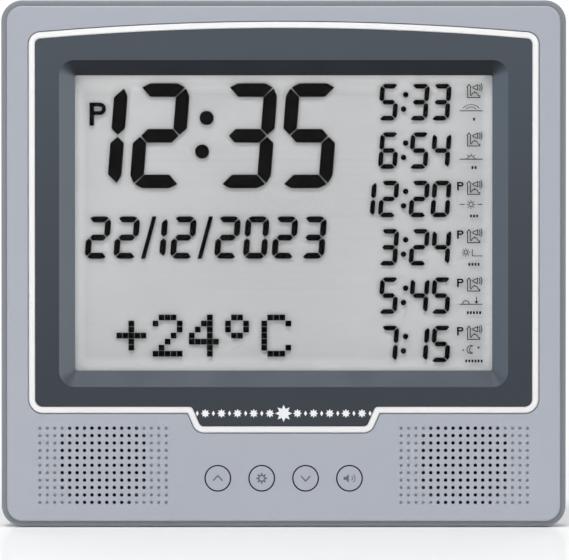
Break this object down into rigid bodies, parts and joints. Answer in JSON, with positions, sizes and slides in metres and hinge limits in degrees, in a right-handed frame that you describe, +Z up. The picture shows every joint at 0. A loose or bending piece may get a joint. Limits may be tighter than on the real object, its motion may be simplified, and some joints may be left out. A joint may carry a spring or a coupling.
{
  "type": "prayer time clock",
  "caption": "Wall and table clock with a large liquid crystal display, push buttons, speaker grilles, fold-out stand and battery door.",
  "frame": {"origin": "middle of the bottom face, halfway through the depth", "axes": "+X to the viewer's right, +Y from the face to the back, +Z up"},
  "size_m": [0.266, 0.032, 0.248],
  "materials": {
    "housing_grey": "fine satin moulded plastic, light blue grey",
    "cover_grey": "fine satin moulded plastic, mid grey",
    "trim_white": "smooth white",
    "bezel_slate": "satin dark slate",
    "clear_window": "clear acrylic sheet",
    "lcd_film": "matte polarising film",
    "lcd_glass": "clear glass",
    "lcd_reflector": "silver grey reflecting film",
    "lcd_seal": "epoxy seal",
    "lcd_black": "darkened crystal",
    "holder_white": "white moulded plastic",
    "contact_rubber": "layered conductive rubber",
    "board_green": "solder mask",
    "chip_black": "epoxy blob",
    "capacitor_sleeve": "shrink sleeve",
    "bright_metal": "plated",
    "foam": "closed cell foam",
    "basket_steel": "pressed steel, dark",
    "cone_paper": "pressed paper",
    "magnet_iron": "sintered magnet",
    "dome_rubber": "silicone",
    "cell_sleeve": "plain printed sleeve",
    "inlet_black": "moulded plastic",
    "screw_steel": "zinc plated",
    "lead_black": "insulated wire",
    "lead_red": "insulated wire",
    "ribbon_grey": "flat cable"
  },
  "bodies": {
    "case": {"front_housing": "housing_grey", "trim_ring": "trim_white", "display_bezel": "bezel_slate", "display_window": "clear_window", "lcd_front_film": "lcd_film", "lcd_front_glass": "lcd_glass", "lcd_rear_glass": "lcd_glass", "lcd_reflector": "lcd_reflector", "lcd_seal": "lcd_seal", "lcd_digits": "lcd_black", "lcd_holder": "holder_white", "contact_strip_lower": "contact_rubber", "contact_strip_upper": "contact_rubber", "main_board": "board_green", "button_board": "board_green", "chip_blobs": "chip_black", "capacitors": "capacitor_sleeve", "crystal": "bright_metal", "speaker_gasket_left": "foam", "speaker_gasket_right": "foam", "speaker_basket_left": "basket_steel", "speaker_basket_right": "basket_steel", "speaker_cone_left": "cone_paper", "speaker_cone_right": "cone_paper", "speaker_magnet_left": "magnet_iron", "speaker_magnet_right": "magnet_iron", "dome_up": "dome_rubber", "dome_set": "dome_rubber", "dome_down": "dome_rubber", "dome_sound": "dome_rubber", "rear_cover": "cover_grey", "battery_cell_1": "cell_sleeve", "battery_cell_2": "cell_sleeve", "battery_cell_3": "cell_sleeve", "battery_contacts_left": "bright_metal", "battery_contacts_right": "bright_metal", "battery_springs": "bright_metal", "power_inlet": "inlet_black", "power_inlet_pin": "bright_metal", "stand_pin": "bright_metal", "case_screws": "screw_steel", "board_screws": "screw_steel", "button_board_screws": "screw_steel", "speaker_screws": "screw_steel", "speaker_leads_left": "lead_black", "speaker_leads_right": "lead_black", "battery_leads": "lead_red", "power_leads": "lead_red", "button_ribbon": "ribbon_grey"},
    "button_up_cap": {"button_up": "housing_grey"},
    "button_set_cap": {"button_set": "housing_grey"},
    "button_down_cap": {"button_down": "housing_grey"},
    "button_sound_cap": {"button_sound": "housing_grey"},
    "battery_door": {"battery_door": "cover_grey"},
    "stand": {"stand": "cover_grey"}
  },
  "joints": [
    {"name": "button_up_press", "type": "slide", "parent": "case", "child": "button_up_cap", "axis": [0, 1, 0], "range_m": [0, 0.001], "stiffness_N_per_m": 900, "springref_m": -0.0006, "deforming": ["dome_up"]},
    {"name": "button_set_press", "type": "slide", "parent": "case", "child": "button_set_cap", "axis": [0, 1, 0], "range_m": [0, 0.001], "stiffness_N_per_m": 900, "springref_m": -0.0006, "deforming": ["dome_set"]},
    {"name": "button_down_press", "type": "slide", "parent": "case", "child": "button_down_cap", "axis": [0, 1, 0], "range_m": [0, 0.001], "stiffness_N_per_m": 900, "springref_m": -0.0006, "deforming": ["dome_down"]},
    {"name": "button_sound_press", "type": "slide", "parent": "case", "child": "button_sound_cap", "axis": [0, 1, 0], "range_m": [0, 0.001], "stiffness_N_per_m": 900, "springref_m": -0.0006, "deforming": ["dome_sound"]},
    {"name": "battery_door_tilt", "type": "hinge", "parent": "case", "child": "battery_door", "pos_m": [0, 0.016, 0.095], "axis": [-1, 0, 0], "range_deg": [0, 65]},
    {"name": "stand_swing", "type": "hinge", "parent": "case", "child": "stand", "pos_m": [0, 0.0134, 0.079], "axis": [1, 0, 0], "range_deg": [0, 30]}
  ]
}
